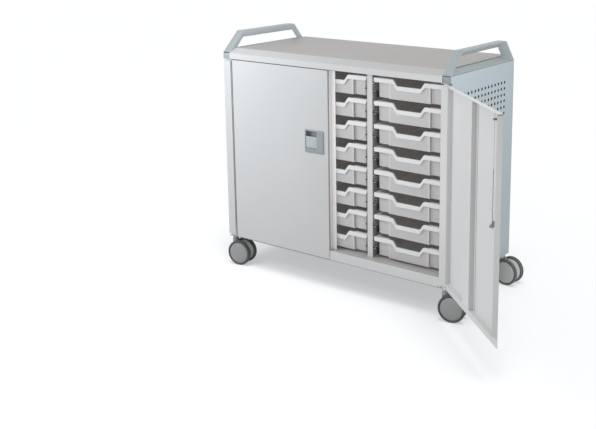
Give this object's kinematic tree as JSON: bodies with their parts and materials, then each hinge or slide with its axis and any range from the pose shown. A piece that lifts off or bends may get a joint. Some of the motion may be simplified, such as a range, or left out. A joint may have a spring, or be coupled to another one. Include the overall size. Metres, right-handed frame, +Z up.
{
  "type": "mobile storage cabinet",
  "caption": "Two door steel storage cabinet on twin wheel casters, with sliding plastic trays, a paddle latch, perforated ends and push handles",
  "frame": {"origin": "middle of the box of the part as pictured, right door open, at floor level", "axes": "+X to the right seen from the front, +Y to the back, +Z up"},
  "size_m": [1.4876, 0.8632, 1.005],
  "materials": {
    "carcass_paint": "satin pale grey powder coat",
    "end_paint": "satin blue grey powder coat",
    "handle_paint": "satin blue grey powder coat",
    "tray_plastic": "satin off white moulding",
    "latch_plastic": "satin blue grey moulding",
    "bright_steel": "zinc plated",
    "caster_plastic": "satin grey moulding",
    "wheel_plastic": "grey moulding with a darker tread"
  },
  "bodies": {
    "carcass": {"base_pan": "carcass_paint", "back_panel": "carcass_paint", "left_side": "carcass_paint", "right_side": "carcass_paint", "left_divider": "carcass_paint", "right_divider": "carcass_paint", "worktop": "carcass_paint", "left_end_panel": "end_paint", "right_end_panel": "end_paint", "left_handle": "handle_paint", "right_handle": "handle_paint", "left_lower_hinge_pin": "bright_steel", "left_upper_hinge_pin": "bright_steel", "right_lower_hinge_pin": "bright_steel", "right_upper_hinge_pin": "bright_steel"},
    "left_door_leaf": {"left_door": "carcass_paint", "left_door_stiffener": "carcass_paint", "left_latch_housing": "latch_plastic"},
    "right_door_leaf": {"right_door": "carcass_paint", "right_door_stiffener": "carcass_paint"},
    "paddle": {"left_latch_paddle": "latch_plastic"},
    "cam": {"lock_cam": "bright_steel"},
    "upper_rod": {"upper_lock_rod": "bright_steel"},
    "tray_right_8_body": {"tray_right_8": "tray_plastic"},
    "tray_right_7_body": {"tray_right_7": "tray_plastic"},
    "tray_right_6_body": {"tray_right_6": "tray_plastic"},
    "tray_right_5_body": {"tray_right_5": "tray_plastic"},
    "tray_right_4_body": {"tray_right_4": "tray_plastic"},
    "tray_right_3_body": {"tray_right_3": "tray_plastic"},
    "tray_right_2_body": {"tray_right_2": "tray_plastic"},
    "tray_right_1_body": {"tray_right_1": "tray_plastic"},
    "front_left_swivel_body": {"front_left_fork": "caster_plastic"},
    "front_right_swivel_body": {"front_right_fork": "caster_plastic"},
    "rear_left_swivel_body": {"rear_left_fork": "caster_plastic"},
    "rear_right_swivel_body": {"rear_right_fork": "caster_plastic"},
    "front_left_outer_wheel_body": {"front_left_outer_wheel": "wheel_plastic"},
    "front_left_inner_wheel_body": {"front_left_inner_wheel": "wheel_plastic"},
    "front_right_outer_wheel_body": {"front_right_outer_wheel": "wheel_plastic"},
    "front_right_inner_wheel_body": {"front_right_inner_wheel": "wheel_plastic"},
    "rear_left_outer_wheel_body": {"rear_left_outer_wheel": "wheel_plastic"},
    "rear_left_inner_wheel_body": {"rear_left_inner_wheel": "wheel_plastic"},
    "rear_right_outer_wheel_body": {"rear_right_outer_wheel": "wheel_plastic"},
    "rear_right_inner_wheel_body": {"rear_right_inner_wheel": "wheel_plastic"},
    "tray_middle_8_body": {"tray_middle_8": "tray_plastic"},
    "tray_middle_7_body": {"tray_middle_7": "tray_plastic"},
    "tray_middle_6_body": {"tray_middle_6": "tray_plastic"},
    "tray_middle_5_body": {"tray_middle_5": "tray_plastic"},
    "tray_middle_4_body": {"tray_middle_4": "tray_plastic"},
    "tray_middle_3_body": {"tray_middle_3": "tray_plastic"},
    "tray_middle_2_body": {"tray_middle_2": "tray_plastic"},
    "tray_middle_1_body": {"tray_middle_1": "tray_plastic"},
    "tray_left_8_body": {"tray_left_8": "tray_plastic"},
    "tray_left_7_body": {"tray_left_7": "tray_plastic"},
    "tray_left_6_body": {"tray_left_6": "tray_plastic"},
    "tray_left_5_body": {"tray_left_5": "tray_plastic"},
    "tray_left_4_body": {"tray_left_4": "tray_plastic"},
    "tray_left_3_body": {"tray_left_3": "tray_plastic"},
    "tray_left_2_body": {"tray_left_2": "tray_plastic"},
    "tray_left_1_body": {"tray_left_1": "tray_plastic"}
  },
  "joints": [
    {"name": "right_door_hinge", "type": "hinge", "parent": "carcass", "child": "right_door_leaf", "pos_m": [0.34072, -0.07652, 0.5], "axis": [0, 0, 1], "range_deg": [-139.5, 40.5]},
    {"name": "left_door_hinge", "type": "hinge", "parent": "carcass", "child": "left_door_leaf", "pos_m": [-0.71728, -0.07652, 0.5], "axis": [0, 0, -1], "range_deg": [0, 180]},
    {"name": "upper_rod_slide", "type": "slide", "parent": "right_door_leaf", "child": "upper_rod", "axis": [0, 0, 1], "range_m": [0, 0.012]},
    {"name": "lock_cam_turn", "type": "hinge", "parent": "right_door_leaf", "child": "cam", "pos_m": [0.70956, -0.3876, 0.53], "axis": [-0.6494, -0.7604, 0], "range_deg": [0, 90]},
    {"name": "paddle_hinge", "type": "hinge", "parent": "left_door_leaf", "child": "paddle", "pos_m": [-0.27128, -0.07832, 0.576], "axis": [1, 0, 0], "range_deg": [0, 30], "stiffness_Nm_per_rad": 0.1, "springref_deg": -11.46},
    {"name": "tray_right_8_slide", "type": "slide", "parent": "carcass", "child": "tray_right_8_body", "axis": [0, -1, 0], "range_m": [0, 0.36]},
    {"name": "tray_right_7_slide", "type": "slide", "parent": "carcass", "child": "tray_right_7_body", "axis": [0, -1, 0], "range_m": [0, 0.36]},
    {"name": "tray_right_6_slide", "type": "slide", "parent": "carcass", "child": "tray_right_6_body", "axis": [0, -1, 0], "range_m": [0, 0.36]},
    {"name": "tray_right_5_slide", "type": "slide", "parent": "carcass", "child": "tray_right_5_body", "axis": [0, -1, 0], "range_m": [0, 0.36]},
    {"name": "tray_right_4_slide", "type": "slide", "parent": "carcass", "child": "tray_right_4_body", "axis": [0, -1, 0], "range_m": [0, 0.36]},
    {"name": "tray_right_3_slide", "type": "slide", "parent": "carcass", "child": "tray_right_3_body", "axis": [0, -1, 0], "range_m": [0, 0.36]},
    {"name": "tray_right_2_slide", "type": "slide", "parent": "carcass", "child": "tray_right_2_body", "axis": [0, -1, 0], "range_m": [0, 0.36]},
    {"name": "tray_right_1_slide", "type": "slide", "parent": "carcass", "child": "tray_right_1_body", "axis": [0, -1, 0], "range_m": [0, 0.36]},
    {"name": "front_left_swivel", "type": "hinge", "parent": "carcass", "child": "front_left_swivel_body", "pos_m": [-0.71728, -0.05952, 0.054], "axis": [0, 0, 1], "continuous": true},
    {"name": "front_right_swivel", "type": "hinge", "parent": "carcass", "child": "front_right_swivel_body", "pos_m": [0.34072, -0.05952, 0.054], "axis": [0, 0, 1], "continuous": true},
    {"name": "rear_left_swivel", "type": "hinge", "parent": "carcass", "child": "rear_left_swivel_body", "pos_m": [-0.71728, 0.39348, 0.054], "axis": [0, 0, 1], "continuous": true},
    {"name": "rear_right_swivel", "type": "hinge", "parent": "carcass", "child": "rear_right_swivel_body", "pos_m": [0.34072, 0.39348, 0.054], "axis": [0, 0, 1], "continuous": true},
    {"name": "front_left_outer_wheel_spin", "type": "hinge", "parent": "front_left_swivel_body", "child": "front_left_outer_wheel_body", "pos_m": [-0.68184, -0.07871, 0.054], "axis": [-0.1564, 0.9877, 0], "continuous": true},
    {"name": "front_left_inner_wheel_spin", "type": "hinge", "parent": "front_left_swivel_body", "child": "front_left_inner_wheel_body", "pos_m": [-0.68951, -0.03031, 0.054], "axis": [-0.1564, 0.9877, 0], "continuous": true},
    {"name": "front_right_outer_wheel_spin", "type": "hinge", "parent": "front_right_swivel_body", "child": "front_right_outer_wheel_body", "pos_m": [0.37711, -0.07683, 0.054], "axis": [-0.2079, 0.9781, 0], "continuous": true},
    {"name": "front_right_inner_wheel_spin", "type": "hinge", "parent": "front_right_swivel_body", "child": "front_right_inner_wheel_body", "pos_m": [0.36693, -0.0289, 0.054], "axis": [-0.2079, 0.9781, 0], "continuous": true},
    {"name": "rear_left_outer_wheel_spin", "type": "hinge", "parent": "rear_left_swivel_body", "child": "rear_left_outer_wheel_body", "pos_m": [-0.68707, 0.42016, 0.054], "axis": [-0.0698, 0.9976, 0], "continuous": true},
    {"name": "rear_left_inner_wheel_spin", "type": "hinge", "parent": "rear_left_swivel_body", "child": "rear_left_inner_wheel_body", "pos_m": [-0.68365, 0.37127, 0.054], "axis": [-0.0698, 0.9976, 0], "continuous": true},
    {"name": "rear_right_outer_wheel_spin", "type": "hinge", "parent": "rear_right_swivel_body", "child": "rear_right_outer_wheel_body", "pos_m": [0.37511, 0.4145, 0.054], "axis": [0.1045, 0.9945, 0], "continuous": true},
    {"name": "rear_right_inner_wheel_spin", "type": "hinge", "parent": "rear_right_swivel_body", "child": "rear_right_inner_wheel_body", "pos_m": [0.36998, 0.36577, 0.054], "axis": [0.1045, 0.9945, 0], "continuous": true},
    {"name": "tray_middle_8_slide", "type": "slide", "parent": "carcass", "child": "tray_middle_8_body", "axis": [0, -1, 0], "range_m": [0, 0.0075]},
    {"name": "tray_middle_7_slide", "type": "slide", "parent": "carcass", "child": "tray_middle_7_body", "axis": [0, -1, 0], "range_m": [0, 0.0075]},
    {"name": "tray_middle_6_slide", "type": "slide", "parent": "carcass", "child": "tray_middle_6_body", "axis": [0, -1, 0], "range_m": [0, 0.0075]},
    {"name": "tray_middle_5_slide", "type": "slide", "parent": "carcass", "child": "tray_middle_5_body", "axis": [0, -1, 0], "range_m": [0, 0.0075]},
    {"name": "tray_middle_4_slide", "type": "slide", "parent": "carcass", "child": "tray_middle_4_body", "axis": [0, -1, 0], "range_m": [0, 0.0075]},
    {"name": "tray_middle_3_slide", "type": "slide", "parent": "carcass", "child": "tray_middle_3_body", "axis": [0, -1, 0], "range_m": [0, 0.0075]},
    {"name": "tray_middle_2_slide", "type": "slide", "parent": "carcass", "child": "tray_middle_2_body", "axis": [0, -1, 0], "range_m": [0, 0.0075]},
    {"name": "tray_middle_1_slide", "type": "slide", "parent": "carcass", "child": "tray_middle_1_body", "axis": [0, -1, 0], "range_m": [0, 0.0075]},
    {"name": "tray_left_8_slide", "type": "slide", "parent": "carcass", "child": "tray_left_8_body", "axis": [0, -1, 0], "range_m": [0, 0.0155]},
    {"name": "tray_left_7_slide", "type": "slide", "parent": "carcass", "child": "tray_left_7_body", "axis": [0, -1, 0], "range_m": [0, 0.0155]},
    {"name": "tray_left_6_slide", "type": "slide", "parent": "carcass", "child": "tray_left_6_body", "axis": [0, -1, 0], "range_m": [0, 0.0155]},
    {"name": "tray_left_5_slide", "type": "slide", "parent": "carcass", "child": "tray_left_5_body", "axis": [0, -1, 0], "range_m": [0, 0.0155]},
    {"name": "tray_left_4_slide", "type": "slide", "parent": "carcass", "child": "tray_left_4_body", "axis": [0, -1, 0], "range_m": [0, 0.0155]},
    {"name": "tray_left_3_slide", "type": "slide", "parent": "carcass", "child": "tray_left_3_body", "axis": [0, -1, 0], "range_m": [0, 0.0155]},
    {"name": "tray_left_2_slide", "type": "slide", "parent": "carcass", "child": "tray_left_2_body", "axis": [0, -1, 0], "range_m": [0, 0.0155]},
    {"name": "tray_left_1_slide", "type": "slide", "parent": "carcass", "child": "tray_left_1_body", "axis": [0, -1, 0], "range_m": [0, 0.0155]}
  ],
  "couplings": [
    {"joint": "lock_cam_turn", "follows": "upper_rod_slide", "rad_per_m": 130.8}
  ]
}
